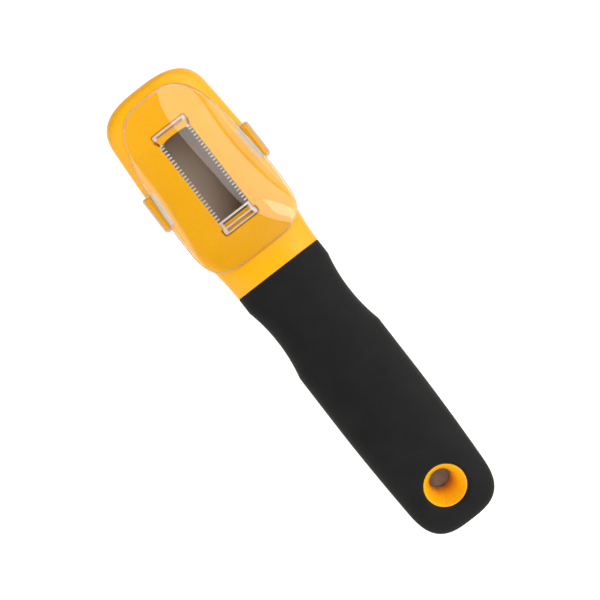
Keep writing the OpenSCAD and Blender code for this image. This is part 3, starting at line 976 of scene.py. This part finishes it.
def make_floor():
    """White floor round the tool, with painted shade close under and inside it: its colour darkens and
    its glow fades there.
    """
    plan = oblong(-FLOOR_REACH, FLOOR_REACH, -FLOOR_REACH, FLOOR_REACH)
    floor = new_object("floor", [(x, y, -FLOOR_GAP) for x, y in plan], [[0, 1, 2, 3]])
    material = bpy.data.materials.new("floor_white_painted_shade")
    material.use_nodes = True
    tree = material.node_tree
    tree.nodes.remove(tree.nodes["Principled BSDF"])
    matt = tree.nodes.new("ShaderNodeBsdfDiffuse")
    # Painted shade: the floor's matt colour is a dim warm brown, and a darker brown where pieces close it
    # in within CONTACT_REACH
    closed, clear = (0.32, 0.235, 0.10), (0.50, 0.42, 0.335)
    near = ranged(tree, openness(tree, CONTACT_REACH), (0.1, 0.6), NOISE_RANGE)
    tint(tree, near, closed, clear, matt.inputs["Color"])
    glow = tree.nodes.new("ShaderNodeEmission")
    # Painted shade: the white glow fades out where pieces close in the floor within SHADOW_REACH
    white = ranged(tree, openness(tree, SHADOW_REACH), (0.2, 0.44), (0, 0.9))
    tree.links.new(combine(tree, "MULTIPLY", white, seen_directly(tree)), glow.inputs["Strength"])
    both = tree.nodes.new("ShaderNodeAddShader")
    tree.links.new(matt.outputs[0], both.inputs[0])
    tree.links.new(glow.outputs[0], both.inputs[1])
    tree.links.new(both.outputs[0], tree.nodes["Material Output"].inputs["Surface"])
    floor.data.materials.append(material)


def make_world(horizon, overhead):
    """White walls round the table, and a dim ceiling."""
    world = bpy.data.worlds.new("studio")
    bpy.context.scene.world = world
    world.use_nodes = True
    tree = world.node_tree
    place = tree.nodes.new("ShaderNodeTexCoord")
    split = tree.nodes.new("ShaderNodeSeparateXYZ")
    tree.links.new(place.outputs["Generated"], split.inputs["Vector"])
    background = tree.nodes["Background"]
    background.inputs["Color"].default_value = (1, 1, 1, 1)
    level = ranged(tree, split.outputs["Z"], (0.2, 0.32), (horizon, overhead))
    tree.links.new(level, background.inputs["Strength"])


def softbox(name, place, size, radiance, slant=0, mirrored=True):
    """Area lamp that faces the tool, level before it slants; unmirrored, no reflection shows it."""
    lamp = bpy.data.lights.new(name, "AREA")
    lamp.shape = "RECTANGLE"
    lamp.size, lamp.size_y = size[0] * MM, size[1] * MM
    lamp.energy = radiance * math.pi * lamp.size * lamp.size_y
    obj = bpy.data.objects.new(name, lamp)
    face_tool = (-Vector(place)).to_track_quat("-Z", "Y").to_matrix().to_4x4()
    turn = face_tool @ Matrix.Rotation(slant, 4, "Z")
    obj.matrix_world = Matrix.Translation(Vector(place) * MM) @ turn
    obj.visible_camera = False
    if not mirrored:
        lamp.use_nodes = True
        tree = lamp.node_tree
        ray = tree.nodes.new("ShaderNodeLightPath").outputs
        unmirrored = combine(tree, "LESS_THAN", ray["Glossy Depth"], 0.5)
        tree.links.new(unmirrored, tree.nodes["Emission"].inputs["Strength"])
    bpy.context.scene.collection.objects.link(obj)


def make_camera():
    """Camera straight above, turned so that the tool lies as in the photo."""
    camera = bpy.data.cameras.new("camera")
    camera.sensor_width = SENSOR
    camera.lens = SENSOR * CAMERA_DISTANCE / PHOTO_SPAN
    camera.clip_start = 0.01
    obj = bpy.data.objects.new("camera", camera)
    s, c = math.sin(TOOL_ANGLE), math.cos(TOOL_ANGLE)
    x, y = CAMERA_OVER
    z = CAMERA_DISTANCE + OBJECT_PLANE
    obj.matrix_world = Matrix(((s, c, 0, x * MM), (-c, s, 0, y * MM), (0, 0, 1, z * MM), (0, 0, 0, 1)))
    bpy.context.scene.collection.objects.link(obj)
    bpy.context.scene.camera = obj


yellow = yellow_plastic()
finish_piece(make_core(), yellow, "tool", "handle_core")
finish_piece(make_eyelet(), yellow, "tool", "handle_core")
finish_piece(make_grip(), black_rubber(), "tool", "grip")
finish_piece(make_blade(), blade_steel(), "tool", "blade", 20)
plastics = (
    clear_plastic("clear_plastic", 0.945),
    clear_plastic("thin_clear_plastic", 1.0),
    refraction_beige_plastic(),
)
for parts, material in zip(make_cover(), plastics):
    for part in parts:
        finish_piece(part, material, "cover", "blade_cover")

make_floor()
make_world(1.0, 0.02)
softbox("softbox_right", (588, 0, 809), (2300, 828), 2.05, math.radians(19))
softbox("strip_right", (510, -178, 842), (300, 180), 2.6, math.radians(-11))
softbox("wall_right", (961, 0, 276), (1600, 425), 1.2)
softbox("wall_left", (-776, -582, 276), (2400, 425), 0.8)
softbox("fill_left", (-540, -450, 710), (2300, 1000), 1.7, mirrored=False)
make_camera()
bpy.context.scene.view_settings.view_transform = "Standard"
